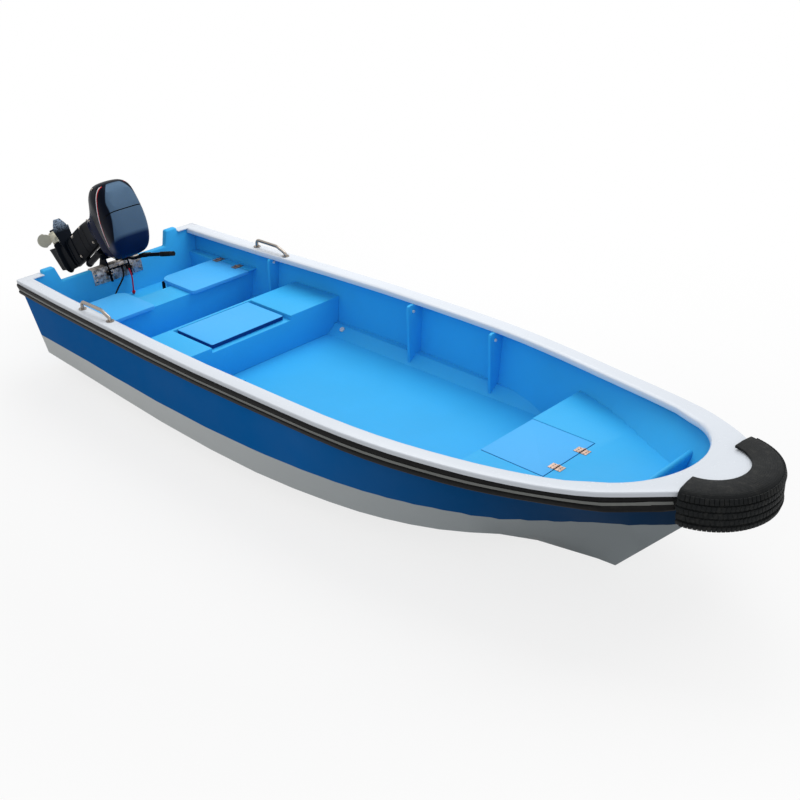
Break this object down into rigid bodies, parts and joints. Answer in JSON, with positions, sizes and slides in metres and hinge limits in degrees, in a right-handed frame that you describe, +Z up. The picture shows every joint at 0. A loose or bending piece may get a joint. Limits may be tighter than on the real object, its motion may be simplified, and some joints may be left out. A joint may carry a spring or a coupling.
{
  "type": "panga",
  "caption": "Open fibreglass fishing boat with lidded seats, a bow platform, a tyre fender and a tilted-up tiller-steered outboard.",
  "frame": {"origin": "on the underside of the flat keel pad, at the middle of the hull's length, on the centreline", "axes": "+X towards the bow, +Y to port, +Z up"},
  "size_m": [5.9155, 1.6186, 1.1742],
  "materials": {
    "gelcoat_grey": "gloss gelcoat, slightly dulled",
    "gelcoat_deep_blue": "gloss gelcoat",
    "gelcoat_blue": "satin gelcoat",
    "gelcoat_white": "gloss gelcoat",
    "black_rubber": "satin extruded rubber",
    "grey_strip": "satin vinyl",
    "tyre_rubber": "worn tyre rubber",
    "bare_aluminium": "dull cast aluminium",
    "stainless": "polished stainless steel",
    "white_plastic": "satin plastic",
    "motor_black": "satin black paint",
    "motor_blue_black": "satin blue-black paint",
    "motor_metallic": "metallic blue-grey paint",
    "cast_engine": "cast block",
    "cast_aluminium": "cream-grey painted aluminium",
    "grip_rubber": "ribbed rubber",
    "hose_rubber": "satin hose rubber",
    "red_cord": "plastic-covered cord"
  },
  "bodies": {
    "hull": {"hull_bottom": "gelcoat_grey", "topside_port": "gelcoat_deep_blue", "topside_starboard": "gelcoat_deep_blue", "transom": "gelcoat_blue", "transom_plate": "bare_aluminium", "gunwale_cap": "gelcoat_white", "rub_rail_port": "black_rubber", "rub_rail_starboard": "black_rubber", "rail_insert_port": "grey_strip", "rail_insert_starboard": "grey_strip", "cockpit_floor": "gelcoat_blue", "aft_seat": "gelcoat_blue", "mid_thwart": "gelcoat_blue", "bow_platform": "gelcoat_blue", "knees_port": "gelcoat_blue", "knees_starboard": "gelcoat_blue", "grab_handle_port": "stainless", "grab_handle_starboard": "stainless", "bow_fender": "tyre_rubber", "floor_drain": "white_plastic", "fixed_leaves": "stainless", "clamp_bracket": "motor_black", "clamp_screws": "stainless", "fuel_hose": "hose_rubber", "stop_lanyard": "red_cord"},
    "aft_lid_port": {"aft_lid_port": "gelcoat_blue", "aft_leaves_port": "stainless"},
    "aft_lid_starboard": {"aft_lid_starboard": "gelcoat_blue", "aft_leaves_starboard": "stainless"},
    "mid_lid": {"mid_lid": "gelcoat_blue"},
    "bow_hatch": {"bow_hatch_lid": "gelcoat_blue", "hatch_leaves": "stainless"},
    "swivel": {"swivel_bracket": "motor_black"},
    "motor": {"steering_yoke": "motor_black", "lower_cowl": "motor_blue_black", "top_cowl": "motor_metallic", "engine_block": "cast_engine", "exhaust_housing": "motor_black", "gearcase": "motor_black", "anti_vent_plate": "motor_black"},
    "tiller": {"tiller_arm": "motor_black", "tiller_grip": "grip_rubber"},
    "propeller": {"propeller": "cast_aluminium"}
  },
  "joints": [
    {"name": "motor_tilt", "type": "hinge", "parent": "hull", "child": "swivel", "pos_m": [-2.465, 0, 0.63], "axis": [0, 1, 0], "range_deg": [-53, 12]},
    {"name": "motor_steer", "type": "hinge", "parent": "swivel", "child": "motor", "pos_m": [-2.66986, 0, 0.56953], "axis": [0.7986, 0, 0.6018], "range_deg": [-40, 40]},
    {"name": "tiller_fold", "type": "hinge", "parent": "motor", "child": "tiller", "pos_m": [-2.1841, 0.06, 0.67264], "axis": [0, -1, 0], "range_deg": [-40, 14]},
    {"name": "propeller_spin", "type": "hinge", "parent": "motor", "child": "propeller", "pos_m": [-3.2024, 0, 0.54013], "axis": [-0.6018, 0, 0.7986], "continuous": true},
    {"name": "aft_lid_port_hinge", "type": "hinge", "parent": "hull", "child": "aft_lid_port", "pos_m": [-2.005, 0.643, 0.4848], "axis": [-1, 0, 0], "range_deg": [0, 88]},
    {"name": "aft_lid_starboard_hinge", "type": "hinge", "parent": "hull", "child": "aft_lid_starboard", "pos_m": [-2.005, -0.643, 0.4848], "axis": [1, 0, 0], "range_deg": [0, 88]},
    {"name": "mid_lid_lift", "type": "slide", "parent": "hull", "child": "mid_lid", "axis": [0, 0, 1], "range_m": [0, 0.25]},
    {"name": "bow_hatch_hinge", "type": "hinge", "parent": "hull", "child": "bow_hatch", "pos_m": [1.482, 0, 0.4948], "axis": [0, 1, 0], "range_deg": [0, 170]}
  ]
}
